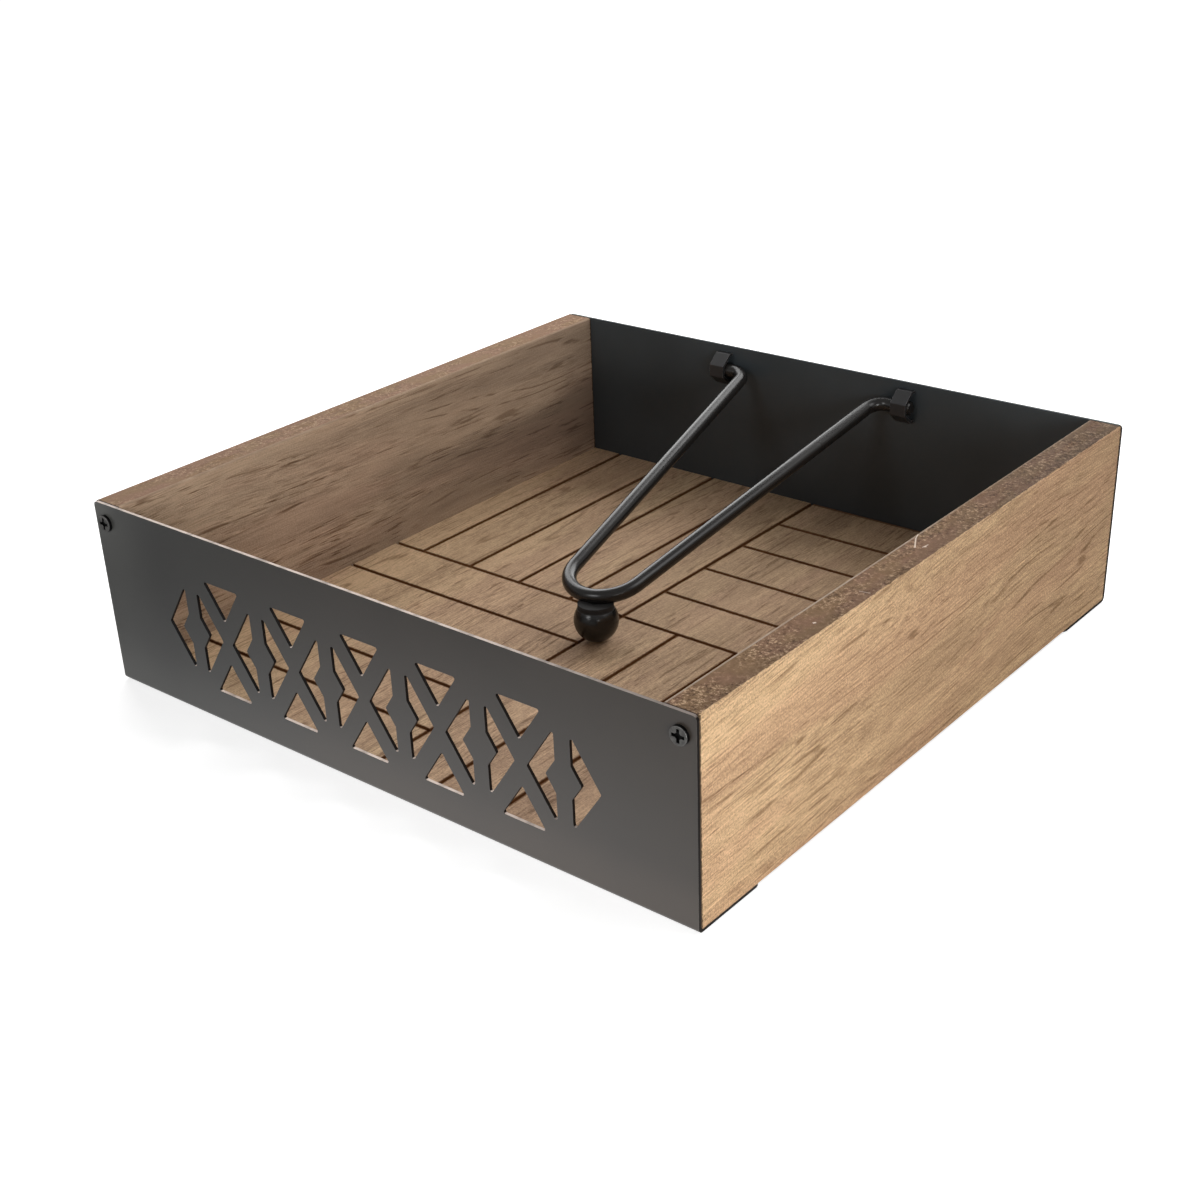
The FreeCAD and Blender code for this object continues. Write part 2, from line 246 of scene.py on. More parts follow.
SKY_ON_OBJECT = 0.06
SKY_IN_GLOSS = (1.0, 0.40)     # at the horizon and overhead, where metal mirrors it
SKY_FADE = (0.05, 0.40)        # the heights of direction between which it changes
LAMP_AIM = (0, 0, 0.02)
LAMPS = {
    "rear_softbox": Lamp((0.0, 0.80, 0.60), 0.85, 0.60, 5.2),
    "rear_left_softbox": Lamp((-0.70, 0.45, 0.55), 0.85, 0.55, 3.4),
    "low_side_lamp": Lamp((0.75, -0.50, 0.15), 0.50, 0.20, 1.05),
    "front_lamp": Lamp((-0.12, -0.88, 0.46), 0.95, 0.28, 1.5),
    "high_side_lamp": Lamp((0.64, 0.19, 0.74), 0.85, 0.42, 1.3),
}
FLOOR_SIDE = 6.0
FLOOR_DROP = 0.0002            # between the tray's flanges and the floor
FLOOR_TONE = (0.80, 0.80, 0.80)
FLOOR_ROUGHNESS = 0.9
WHITE, BLACK = (1, 1, 1), (0.0, 0.0, 0.0)
GLOW_TO_CAMERA = (0.68, 1.0)   # near the tray and far from it
GLOW_REACH = (0.35, 0.80)      # the distances from the tray between which it changes
FRONT_PATCH = Patch(0.03, -0.095, 0.5, 0.11, (1.0, 0.30))
SIDE_PATCH = Patch(-0.21, -0.160, 1.0, 0.07, (0.75, 0.0))


def distance_from(s, x, y, share_of_x=1):
    """How far a point of the floor is from a place on it."""
    aside = s.times(s.plus(s.x, -x), share_of_x)
    ahead = s.plus(s.y, -y)
    return s.single("SQRT", s.plus(s.times(aside, aside), s.times(ahead, ahead)))


def patch_glow(s, patch):
    """How strongly metal sees a point of the floor glow for one patch."""
    distance = distance_from(s, patch.x, patch.y, patch.share_of_x)
    return s.fade(distance, 0.0, patch.radius, *patch.glow)


def add_stage():
    """A pale floor that turns white away from the tray, and that metal mirrors as two bright patches."""
    s = Shader("pale_floor")
    path = s.add("LightPath").outputs
    to_camera = s.fade(distance_from(s, 0, 0), *GLOW_REACH, *GLOW_TO_CAMERA)
    to_reflections = s.most(patch_glow(s, FRONT_PATCH), patch_glow(s, SIDE_PATCH))
    in_reflections = s.most(path["Is Glossy Ray"], path["Is Transmission Ray"])
    glow = s.most(s.times(path["Is Camera Ray"], to_camera), s.times(in_reflections, to_reflections))
    tone = s.mix(path["Is Glossy Ray"], FLOOR_TONE, BLACK)
    s.finish(base_color=tone, roughness=FLOOR_ROUGHNESS, specular_ior_level=0.0,
             emission_color=WHITE, emission_strength=glow)
    half = FLOOR_SIDE / 2
    corners = [(-half, -half, 0), (half, -half, 0), (half, half, 0), (-half, half, 0)]
    mesh = bpy.data.meshes.new("floor")
    mesh.from_pydata(corners, [], [(0, 1, 2, 3)])
    floor = bpy.data.objects.new("floor", mesh)
    floor.data.materials.append(s.material)
    floor.location.z = -FLOOR_DROP
    bpy.context.scene.collection.objects.link(floor)


def add_sky():
    """A sky that is dim on the tray, brightest at the horizon where metal mirrors it, and white behind."""
    world = bpy.data.worlds.new("studio")
    world.use_nodes = True
    bpy.context.scene.world = world
    sky = Nodes(world.node_tree)
    path = sky.add("LightPath").outputs
    height = sky.axes(sky.add("TexCoord").outputs["Generated"])["Z"]
    in_gloss = sky.fade(height, *SKY_FADE, *SKY_IN_GLOSS, shape="LINEAR")
    level = sky.fade(path["Is Glossy Ray"], 0.0, 1.0, SKY_ON_OBJECT, in_gloss, shape="LINEAR")
    for name in ("Is Camera Ray", "Is Transmission Ray"):
        level = sky.fade(path[name], 0.0, 1.0, level, 1.0, shape="LINEAR")
    background = world.node_tree.nodes["Background"]
    sky.put(background.inputs["Color"], WHITE)
    sky.put(background.inputs["Strength"], level)


def add_lamps():
    """The square lamps round the tray, all turned to the same point of it."""
    for name, lamp in LAMPS.items():
        data = bpy.data.lights.new(name, "AREA")
        data.size = lamp.side
        data.energy = lamp.power
        light = bpy.data.objects.new(name, data)
        towards = Vector(lamp.direction).normalized()
        light.location = Vector(LAMP_AIM) + towards * lamp.distance
        light.rotation_mode = "QUATERNION"
        light.rotation_quaternion = towards.to_track_quat("Z", "Y")
        bpy.context.scene.collection.objects.link(light)


# ---------------------------------------------------------------- wood
class Wood(NamedTuple):
    """The tones of one wood face, and how its grain lies."""
    seed: float
    pale: tuple                # the ends of its tones
    dark: tuple
    rosy: tuple                # what some bands are multiplied by
    bands: float               # how strong its broad bands are
    mottle: float              # how strong its small patches are
    grain: float               # how strong its fine grain is
    evenness: float            # how strong it still is between its busy patches
    streaks: float             # how strong its short dark streaks are
    hairlines: float           # how strong its long thin dark lines are
    rear: float                # how strong all these marks still are behind the middle
    speckle: float             # how strong its round specks are
    length: float = 1.0        # how long its fine grain is
    tilt: float = 0.0          # how much the grain rises towards the back


LEFT_WOOD = Wood(
    seed=1.0, pale=(0.61, 0.450, 0.316), dark=(0.247, 0.179, 0.129), rosy=(1.02, 0.98, 0.99),
    bands=1.5, mottle=0.45, grain=1.25, evenness=0.4, streaks=1.0, hairlines=1.0, rear=0.7,
    speckle=0.8, length=1.9)
RIGHT_WOOD = Wood(
    seed=4.0, pale=(0.77, 0.53, 0.305), dark=(0.37, 0.235, 0.135), rosy=(0.99, 0.95, 0.97),
    bands=0.8, mottle=0.18, grain=1.5, evenness=0.8, streaks=0.25, hairlines=0.75, rear=1.0,
    speckle=1.8, length=1.8, tilt=0.06)
PANEL_WOOD = Wood(
    seed=7.0, pale=(0.65, 0.455, 0.280), dark=(0.29, 0.190, 0.120), rosy=(1.00, 0.97, 1.00),
    bands=1.1, mottle=0.45, grain=1.6, evenness=0.4, streaks=0.85, hairlines=0.80, rear=0.8,
    speckle=1.1)

# The noises of the grain
BANDS = Noise(along_y(0.011, 0.15), 0)
MOTTLE = Noise(along_y(0.0024, 0.020), 1)
FIBRE = Noise(along_y(0.00036, 0.0100), 2, rough=0.7)
BUSY_PATCHES = Noise(along_y(0.006, 0.045), 3, shows=(0.38, 0.60))
PORES = Noise(along_y(0.00038, 0.0055), 4, detail=1, shows=(0.55, 0.64))
FLECKS = Noise(along_y(0.00036, 0.0034), 5, detail=1, shows=(0.56, 0.65))
STREAKS = Noise(along_y(0.0009, 0.012), 6, detail=3, rough=0.65, shows=(0.56, 0.63))
STREAK_PATCHES = Noise(along_y(0.007, 0.045), 7, detail=1, shows=(0.46, 0.58))
RINGS = Noise(along_y(0.014, 0.19), 8, detail=1)
HAIRLINE_BREAKS = Noise(along_y(0.0012, 0.012), 9, shows=(0.42, 0.56))
HAIRLINE_PATCHES = Noise(along_y(0.010, 0.060), 10, detail=1, shows=(0.44, 0.56))
WIDE_SWAY = Noise(along_y(0.030, 0.10), 11, detail=1)
SMALL_SWAY = Noise(along_y(0.005, 0.026), 12, detail=1)
BLUSH = Noise(along_y(0.016, 0.09), 13, shows=(0.42, 0.60))
SPECKS = Noise(0.00045, 14, detail=1)

WIDE_SWING, SMALL_SWING = 0.008, 0.0005    # how far the two sways move the grain aside
TILT_END = 0.05                # the Y from which tilted grain is level again
RING_COUNT = 11.0              # how many rings the noise of the rings is cut into
RING_LINE = (0.14, 0.03)       # between which distances from a ring's edge its hairline comes in
REAR_FADE = (-0.05, 0.03)      # the Y between which the marks take their strength at the rear
MIDDLE_TONE = 0.5
DEEP_TINT = (0.42, 0.37, 0.33)     # what a dark mark and a pale fleck multiply the wood's tone by
LIGHT_TINT = (1.30, 1.34, 1.34)
FLECK_SHARE, PORE_SHARE = 0.30, 0.33
FIBRE_RISE, MARK_DIP = 0.6, 0.8    # the fibres' and the dark marks' shares in the relief


def veneer(s, wood, darker):
    """Colour and relief of an open-grained face whose grain runs along Y; darker is taken off its tone, and
    carries the painted light and shade of the walls and the panel.
    """

    def off_middle(value, gain):
        return s.times(s.plus(value, -0.5), gain)

    def at_seed(noise):
        return s.noise(noise, wood.seed)

    sway = s.plus(off_middle(at_seed(WIDE_SWAY), WIDE_SWING), off_middle(at_seed(SMALL_SWAY), SMALL_SWING))
    rise = s.times(s.least(s.y, TILT_END), -wood.tilt)
    swayed = s.vector(s.plus(s.x, sway), s.y, s.plus(s.z, rise, sway))
    broad = {"seed": wood.seed, "where": swayed}
    fine = {"seed": wood.seed, "where": swayed, "stretch": wood.length}

    strength = s.fade(s.y, *REAR_FADE, 1.0, wood.rear)
    busy = s.times(s.shown(BUSY_PATCHES, wood.evenness, **broad), strength)
    fibre = s.noise(FIBRE, **fine)
    pores = s.times(s.shown(PORES, **fine), busy)
    flecks = s.times(s.shown(FLECKS, **fine), busy)
    streaks = s.times(s.shown(STREAKS, **fine), s.shown(STREAK_PATCHES, **broad))
    rings = s.math("PINGPONG", s.times(s.noise(RINGS, **broad), RING_COUNT), 0.5)
    hairlines = s.times(s.fade(rings, *RING_LINE), s.shown(HAIRLINE_BREAKS, **broad),
                        s.shown(HAIRLINE_PATCHES, **broad))

    tone = s.plus(off_middle(s.noise(BANDS, **broad), wood.bands),
                  off_middle(s.noise(MOTTLE, **broad), wood.mottle),
                  s.times(off_middle(fibre, wood.grain), busy),
                  s.plus(off_middle(at_seed(SPECKS), s.times(strength, wood.speckle)), MIDDLE_TONE))
    colour = s.mix(s.minus(tone, darker, clamp=True), wood.dark, wood.pale)
    colour = s.mix(s.shown(BLUSH, **broad), colour, s.tinted(colour, wood.rosy))
    deep = s.tinted(colour, DEEP_TINT)
    light = s.tinted(colour, LIGHT_TINT)
    colour = s.mix(s.times(flecks, FLECK_SHARE * wood.grain), colour, light)
    marks = s.most(s.times(streaks, wood.streaks), s.times(hairlines, wood.hairlines))
    marks = s.most(s.times(marks, strength), s.times(pores, PORE_SHARE * wood.grain))
    colour = s.mix(marks, colour, deep)
    relief = s.plus(s.times(fibre, FIBRE_RISE), s.times(marks, -MARK_DIP))
    return colour, relief


# ---------------------------------------------------------------- walls
CRUMBS = Noise(0.00090, 30, detail=3, rough=0.75)
CLOUDS = Noise(along_y(0.005, 0.010), 31, shows=(0.40, 0.60))
CRUMB_PATCHES = Noise(along_y(0.006, 0.012), 32, shows=(0.40, 0.56))
DARK_CRUMBS, PALE_CRUMBS = (0.49, 0.36), (0.53, 0.64)    # the noise's values where they come in
BOARD_TONES = ((0.188, 0.116, 0.064), (0.194, 0.112, 0.070))
DARK_CRUMB_TONE, PALE_CRUMB_TONE = (0.080, 0.046, 0.028), (0.44, 0.31, 0.20)
QUIET_SHARE = 0.25             # how much of the crumbs still shows between their patches


def board_edge(s, seed, gain, speckle):
    """Colour and relief of a sawn fibreboard edge; speckle is how strongly its crumbs show."""
    crumbs = s.noise(CRUMBS, seed)
    base = s.mix(s.shown(CLOUDS, seed=seed), *BOARD_TONES)
    busy = s.shown(CRUMB_PATCHES, QUIET_SHARE * speckle, speckle, seed=seed)
    colour = s.mix(s.times(s.fade(crumbs, *DARK_CRUMBS), busy), base, DARK_CRUMB_TONE)
    colour = s.mix(s.times(s.fade(crumbs, *PALE_CRUMBS), busy), colour, PALE_CRUMB_TONE)
    return s.tinted(colour, (gain, gain, gain)), crumbs


class Scratch(NamedTuple):
    """A scratch or a speck on the right wall's top edge."""
    x0: float
    y0: float
    x1: float
    y1: float
    half_width: float
    strength: float


SCRATCHES = (
    Scratch(0.0865, 0.0032, 0.0871, 0.0012, 0.00012, 0.9),
    Scratch(0.0871, 0.0012, 0.0895, -0.0034, 0.00016, 0.9),
    Scratch(0.0909, -0.0023, 0.0912, -0.0005, 0.00015, 0.7),
    Scratch(0.0912, -0.0018, 0.0913, -0.0017, 0.00022, 1.0),
    Scratch(0.0915, -0.0486, 0.0916, -0.0484, 0.00025, 1.0),
    Scratch(0.0913, -0.0301, 0.0936, -0.0297, 0.00014, 0.4),
)
SCRATCH_BLUR = (0.7, 1.3)      # shares of its half width between which a scratch ends
SCRATCH_REACH = (0.0015, 0.0010)    # how far below the wall's top the scratches end
SCRATCH_TONE = (0.78, 0.66, 0.55)


def scratches(s, top):
    """1 where a scratch or a speck has bared pale wood on the edge at the height top."""
    marks = 0.0
    for scratch in SCRATCHES:
        run_x, run_y = scratch.x1 - scratch.x0, scratch.y1 - scratch.y0
        length = math.hypot(run_x, run_y)
        step_x, step_y = run_x / length, run_y / length
        from_x, from_y = s.plus(s.x, -scratch.x0), s.plus(s.y, -scratch.y0)
        along = s.plus(s.times(from_x, step_x), s.times(from_y, step_y))
        aside = s.plus(s.times(from_x, -step_y), s.times(from_y, step_x))
        past = s.most(s.times(along, -1.0), s.plus(along, -length))
        start, end = (share * scratch.half_width for share in SCRATCH_BLUR)
        mark = s.fade(s.most(s.away(aside), past), start, end, scratch.strength, 0.0)
        marks = s.most(mark, marks)
    return s.times(marks, s.fade(s.z, *(top - depth for depth in SCRATCH_REACH)))


WOOD_IOR = 1.45
WALL_GLOSS = 0.05
WALL_RELIEF = 0.00010
FACE_ROUGHNESS = (-0.5, 0.4, 0.72, 0.55)    # two heights of the relief, and the roughness at each
FACE_TURN = (0.80, 0.95)       # between which shares of X in its normal a point is on a face
VENEER_EDGE = Noise(along_y(0.0006, 0.0016), 40)
VENEER_DEPTH = 0.0007          # the most that the veneer's edge reaches in from its face
VENEER_BLUR = 0.0001
ARRIS_TURN = (0.3, 0.5)        # between which shares of X and Z in its normal a point is on an arris
INWARD_TURN = (0.2, 0.5)       # between which shares of X in its normal a point faces the tray
ARRIS_RIM = (0.00070, 0.00085)     # how far from the inner face the arris's pale line ends
ARRIS_DEPTH = (0.0004, 0.0003)     # how far below the top the line begins
# The pale line along the inner arris is partly wear and partly a painted highlight, which is less towards
# the rear
ARRIS_HIGHLIGHT_BY_PLACE = {"less towards the rear": (Fade("y", 0.0, 0.03, 0.85, 0.3),)}
ARRIS_HIGHLIGHT_AND_WEAR = Noise(along_y(0.001, 0.006), 41, detail=3, shows=(0.30, 0.62))
LEAST_ARRIS_LINE = 0.50            # how much of the line shows where it is least marked
# A painted shadow on the wood where a wall meets a plate, with a ragged edge
GAP_SHADOW_EDGE = Noise((0.0006, 0.0006, 0.0008), 42, detail=3)
GAP_SHADOW_REACH = 0.0009        # the most that the painted shadow between a wall and a plate reaches in
GAP_SHADOW_BLUR = 0.0001
GAP_SHADOW_SHARE = 0.85
GAP_SHADOW_TONE = (0.030, 0.018, 0.012)

# Painted light and shade, taken off the faces' tone by place; a patch is the product of its fades
LEFT_WALL_PAINTED_SHADING = {
    "pale upper front": (Fade("y", -0.09, 0.02, -0.42, 0.0), Fade("z", 0.022, 0.046, 0.1, 1.0)),
    "pale upper edge": (Fade("z", 0.0455, 0.0500, 0.0, -0.20), Fade("y", 0.06, 0.09, 1.0, 0.0)),
    "dark rear": (Fade("y", 0.072, 0.084, 0.0, 0.18), Fade("z", 0.036, 0.042, 1.0, 0.0)),
    "dark foot": (Fade("z", 0.013, 0.038, 0.42, 0.0), Fade("y", -0.05, 0.03, 0.10, 1.0),
                  Fade("z", 0.0075, 0.0125, 0.3, 1.0)),
}
RIGHT_WALL_PAINTED_SHADING = {
    "dark upper rear": (Fade("z", 0.036, 0.045, 0.0, 0.12), Fade("y", -0.04, 0.0)),
    # the dark band is partly a band of the wood and partly painted shade
    "dark band": (Fade("z", 0.0, 0.012, 0.26, 0.0, middle=0.0225),
                  Fade("y", 0.020, 0.060, 1.0, 0.0, middle=-0.018)),
}
RIGHT_SLOPE = (5.3, -6.8)      # how fast the slope of the right wall's painted shade rises along Y and Z
RIGHT_SLOPE_FADE = (-0.65, 0.35, -0.12, 0.27)    # two values of that slope, and the painted shade at each
# Painted shade on the right wall's top edge
RIGHT_EDGE_PAINTED_SHADE = {
    "darker outwards and rearwards": (Fade("x", 0.0905, 0.0935, 1.0, 0.84),
                                      Fade("y", -0.02, 0.085, 1.10, 0.68)),
}
RIGHT_EDGE_TINT = (1.04, 1.0, 0.95)


def left_wall_painted_shading(s):
    """Painted light and shade taken off the left wall's tone: its upper front is painted pale, its foot and
    its back painted dark.
    """
    return s.by_place(LEFT_WALL_PAINTED_SHADING)


def right_wall_painted_shading(s):
    """Painted shade taken off the right wall's tone: little at its upper front, more towards the back and
    the foot.
    """
    slope = s.plus(s.times(s.y, RIGHT_SLOPE[0]), s.times(s.z, RIGHT_SLOPE[1]))
    return s.plus(s.fade(slope, *RIGHT_SLOPE_FADE), s.by_place(RIGHT_WALL_PAINTED_SHADING))


def right_edge_painted_shade(s):
    """Painted shade that the right wall's fibreboard edge is multiplied by, darker outwards and rearwards.
    """
    tone = s.by_place(RIGHT_EDGE_PAINTED_SHADE)
    return s.vector(*(s.times(tone, share) for share in RIGHT_EDGE_TINT))


def arris_highlight_and_wear_share(s, low, high, seed):
    """How much of the pale line on a wall's upper arris towards the tray shows, in patches: partly wear,
    partly a painted highlight.
    """
    if low.x > 0:
        from_inside, inward = s.minus(s.x, low.x), -1
    else:
        from_inside, inward = s.minus(high.x, s.x), 1
    on_arris = s.times(s.fade(s.away(s.facing_x), *ARRIS_TURN), s.fade(s.facing_z, *ARRIS_TURN))
    inwards = s.fade(s.times(s.facing_x, inward), *INWARD_TURN)
    near_top = s.fade(s.z, *(high.z - depth for depth in ARRIS_DEPTH))
    rim = s.times(s.fade(from_inside, *ARRIS_RIM, 1.0, 0.0), near_top, s.by_place(ARRIS_HIGHLIGHT_BY_PLACE))
    patchy_highlight = s.shown(ARRIS_HIGHLIGHT_AND_WEAR, LEAST_ARRIS_LINE, seed=seed)
    return s.times(s.most(s.times(on_arris, inwards), rim), patchy_highlight)


def wall_material(name, wood, shade, edge_gain, speckle, arris_highlight_and_wear, edge_painted_shade=None, scratched=False):
    """Veneered faces across X and fibreboard edges.

    shade gives the painted light and shade taken off the faces' tone, and the edges may be multiplied by a
    painted shade.
    edge_gain is how pale the edges are, above 1 as painted light; the upper arris towards the tray gets a
    given tone, a pale line that is partly wear and partly a painted highlight.
    """
    s = Shader(name)
    low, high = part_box(name)
    face_colour, relief = veneer(s, wood, shade(s))
    edge_colour, crumbs = board_edge(s, wood.seed, edge_gain, speckle)
    if edge_painted_shade:
        edge_colour = s.tinted(edge_colour, edge_painted_shade(s))
    from_face = s.least(s.minus(s.x, low.x), s.minus(high.x, s.x))
    ragged = s.times(s.noise(VENEER_EDGE, wood.seed), VENEER_DEPTH)
    skin = s.fade(s.minus(from_face, ragged), 0.0, VENEER_BLUR, 1.0, 0.0)
    edge_colour = s.mix(skin, edge_colour, face_colour)
    edge_colour = s.mix(arris_highlight_and_wear_share(s, low, high, wood.seed), edge_colour, arris_highlight_and_wear)
    if scratched:
        edge_colour = s.mix(scratches(s, high.z), edge_colour, SCRATCH_TONE)
    on_face = s.fade(s.away(s.facing_x), *FACE_TURN)
    colour = s.mix(on_face, edge_colour, face_colour)
    # Painted shadow on the wood at both ends, next to the plates
    from_end = s.least(s.minus(s.y, low.y), s.minus(high.y, s.y))
    shadow_edge = s.times(s.noise(GAP_SHADOW_EDGE, wood.seed), GAP_SHADOW_REACH)
    gap_shadow = s.fade(s.minus(from_end, shadow_edge), -GAP_SHADOW_BLUR, GAP_SHADOW_BLUR, GAP_SHADOW_SHARE, 0.0)
    colour = s.mix(gap_shadow, colour, GAP_SHADOW_TONE)
    height = s.blend(on_face, crumbs, relief)
    return s.finish(base_color=colour, roughness=s.fade(relief, *FACE_ROUGHNESS), ior=WOOD_IOR,
                    specular_ior_level=WALL_GLOSS, normal=s.bump(height, WALL_RELIEF))


# ---------------------------------------------------------------- floor panel
GROOVE_PITCH = 0.0188
GROOVE_WIDTH = 0.0010
SCORCH_WIDTH = 0.0005          # how far the burn fades out beside a groove
SCORCH_SHARE = 0.90
SCORCH_TONE = (0.125, 0.052, 0.018)
SCORCH_RAGGED = Noise(0.0009, 41)
SCORCH_SWING = 0.0007          # how far the burn's edge wanders
GROOVE_BLUR = (1.1, 1.3)       # shares of its half width between which a groove's colour ends
GROOVE_CHAR = Noise(0.0012, 40, detail=3)
GROOVE_TONES = ((0.130, 0.050, 0.017), (0.235, 0.105, 0.038))
ON_TOP = (0.0003, 0.0001)      # the depths below the panel's top over which a point comes out on it,
OUT_OF_GROOVE = (0.00025, 0.00010)  # over which one in a groove comes out of the groove,
UP_IN_GROOVE = (0.0016, 0.0012)     # and over which one below the grooves comes up into them
# Painted shade taken off the panel's tone, darker to the right and to the rear
PANEL_PAINTED_SHADING = {
    "darker to the right": (Fade("x", -0.06, 0.04, -0.16, 0.16),),
    "darker to the rear": (Fade("y", 0.0, 0.07, -0.05, 0.05),),
}
PANEL_ROUGHNESS = 0.62
PANEL_GLOSS = 0.08
PANEL_RELIEF = 0.00008


def panel_material(name, wood):
    """Veneer with painted shade and burnt grooves round the planks of the basket weave."""
    s = Shader(name)
    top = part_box(name)[1].z
    colour, relief = veneer(s, wood, s.by_place(PANEL_PAINTED_SHADING))

    def to_line(value):
        return s.math("PINGPONG", value, GROOVE_PITCH / 2)

    def depth_fade(depths, low=0.0, high=1.0):
        return s.fade(s.z, *(top - depth for depth in depths), low, high)

    # The planks lie along X in two quarters of the panel and along Y in the others
    same_sign = s.math("GREATER_THAN", s.times(s.x, s.y), 0.0)
    repeat = s.blend(same_sign, to_line(s.x), to_line(s.y))
    distance = s.least(repeat, s.away(s.x), s.away(s.y))
    ragged = s.times(s.plus(s.noise(SCORCH_RAGGED, wood.seed), -0.5), SCORCH_SWING)
    half = 0.5 * GROOVE_WIDTH
    scorch = s.fade(s.plus(distance, ragged), half, half + SCORCH_WIDTH, SCORCH_SHARE, 0.0)
    colour = s.mix(s.times(scorch, depth_fade(ON_TOP)), colour, SCORCH_TONE)
    start, end = (share * half for share in GROOVE_BLUR)
    near_line = s.fade(distance, start, end, 1.0, 0.0)
    sunk = s.times(depth_fade(OUT_OF_GROOVE, 1.0, 0.0), depth_fade(UP_IN_GROOVE), near_line)
    burnt = s.mix(s.noise(GROOVE_CHAR, wood.seed), *GROOVE_TONES)
    colour = s.mix(sunk, colour, burnt)
    return s.finish(base_color=colour, roughness=PANEL_ROUGHNESS, ior=WOOD_IOR,
                    specular_ior_level=PANEL_GLOSS, normal=s.bump(relief, PANEL_RELIEF))


# ---------------------------------------------------------------- coated steel
class Coat(NamedTuple):
    """A coat on steel."""
    colour: tuple
    roughness: float
    level: float               # its specular level
    peel: tuple                # the size and the depth of its orange peel
    edge_radius: float
    arris_highlight: tuple = None       # the tone of the painted highlight along its arrises


COAT_IOR = 1.5
BLOTCHES = Noise(0.03, 5.0)
BLOTCH_TINTS = (0.88, 1.12)    # what the coat's colour is multiplied by in its blotches
BLOTCH_TINT_FADE = (0.3, 0.7)
BLOTCH_GLOSS_FADE = (0.25, 0.75)
BLOTCH_GLOSS = 0.03            # how much the roughness differs in them
PEEL_SEED = 3.0
ARRIS_HIGHLIGHT_BREAKS = Noise(0.003, 6.0, detail=3, shows=(0.35, 0.60))
LEAST_ARRIS_HIGHLIGHT = 0.25               # how much of the painted arris highlight shows where it is least
ARRIS_HIGHLIGHT_TURN = (0.995, 0.93)    # rounded and true normal's dot product, from no painted highlight to a full one
PLATE_FACE_TURN = (0.1, 0.4)   # between which shares of Y in its normal a point is on a plate's face
PLATE_EDGE_LEVEL = 0.04        # the specular level of a plate's edges and flange
COLLAR_FOOT = (0.0160, 0.0168)     # the heights between which the ball turns into its collar
COLLAR_ROUGHNESS = 0.85

SHEET_PEEL = (0.00045, 0.000008)
WIRE_PEEL = (0.0012, 0.000015)
BALL_PEEL = (0.0008, 0.000004)
FRONT_PLATE_COAT = Coat(colour=(0.034, 0.0260, 0.0200), roughness=0.34, level=0.90, peel=SHEET_PEEL,
                        edge_radius=0.00010, arris_highlight=(0.13, 0.12, 0.12))
BACK_PLATE_COAT = Coat(colour=(0.027, 0.033, 0.037), roughness=0.42, level=0.45, peel=SHEET_PEEL,
                       edge_radius=0.00012)
CLIP_COAT = Coat(colour=(0.022, 0.021, 0.022), roughness=0.40, level=0.45, peel=SHEET_PEEL,
                 edge_radius=0.00012, arris_highlight=(0.30, 0.29, 0.29))
WIRE_COAT = Coat(colour=(0.0165, 0.0148, 0.0135), roughness=0.25, level=0.42, peel=WIRE_PEEL,
                 edge_radius=0.00015)
STUD_COAT = Coat(colour=(0.012, 0.012, 0.012), roughness=0.33, level=0.50, peel=WIRE_PEEL,
                 edge_radius=0.00010)
BALL_COAT = Coat(colour=(0.0085, 0.0078, 0.0072), roughness=0.27, level=0.50, peel=BALL_PEEL,
                 edge_radius=0.00040)


def coat_material(name, coat, plate_tone=None, matt=None):
    """Coat on steel, with a painted highlight along its arrises where given; plate_tone changes its tint by
    place, painted light and shade among it, and matt its roughness by place.
    """
    s = Shader(name)
    rounded = s.rounded(coat.edge_radius)
    peel_size, peel_depth = coat.peel
    peel = s.noise(Noise(peel_size, PEEL_SEED))
    blotches = s.noise(BLOTCHES)
    tints = (tuple(share * tone for tone in coat.colour) for share in BLOTCH_TINTS)
    tint = s.mix(s.fade(blotches, *BLOTCH_TINT_FADE), *tints)
    # A painted highlight along the arrises, broken into patches
    if coat.arris_highlight:
        true = s.add("NewGeometry").outputs["True Normal"]
        turned = s.add("VectorMath", {0: rounded, 1: true}, operation="DOT_PRODUCT").outputs["Value"]
        arris_glint = s.times(s.fade(turned, *ARRIS_HIGHLIGHT_TURN), s.shown(ARRIS_HIGHLIGHT_BREAKS, LEAST_ARRIS_HIGHLIGHT))
        tint = s.mix(arris_glint, tint, coat.arris_highlight)
    level = coat.level
    if plate_tone:
        tint = plate_tone(s, tint)
        level = s.fade(s.away(s.facing_y), *PLATE_FACE_TURN, PLATE_EDGE_LEVEL, level)
    glossy, dull = coat.roughness - BLOTCH_GLOSS, coat.roughness + BLOTCH_GLOSS
    roughness = s.fade(blotches, *BLOTCH_GLOSS_FADE, glossy, dull)
    if matt:
        roughness = s.most(roughness, matt(s))
    return s.finish(base_color=tint, roughness=roughness, ior=COAT_IOR, specular_ior_level=level,
                    normal=s.bump(peel, peel_depth, rounded))


def matt_collar(s):
    """The least roughness by height: the collar round the top of the ball is matt."""
    return s.fade(s.z, *COLLAR_FOOT, 0.0, COLLAR_ROUGHNESS)


# Painted light on the back plate towards the top, and painted shade on its end faces
BACK_PAINTED_LIGHT = {"towards the top": (Fade("z", 0.028, 0.050, 1.05, 1.65),)}
BACK_OUTER_TONE = (0.033, 0.0320, 0.0315)
BACK_END_SHADE_TONE = (0.005, 0.004, 0.004)
OUTWARD_TURN = (0.2, 0.6)      # between which shares of Y in its normal a point is on the outside
END_TURN = (0.90, 0.99)        # between which shares of X in it a point is on an end face


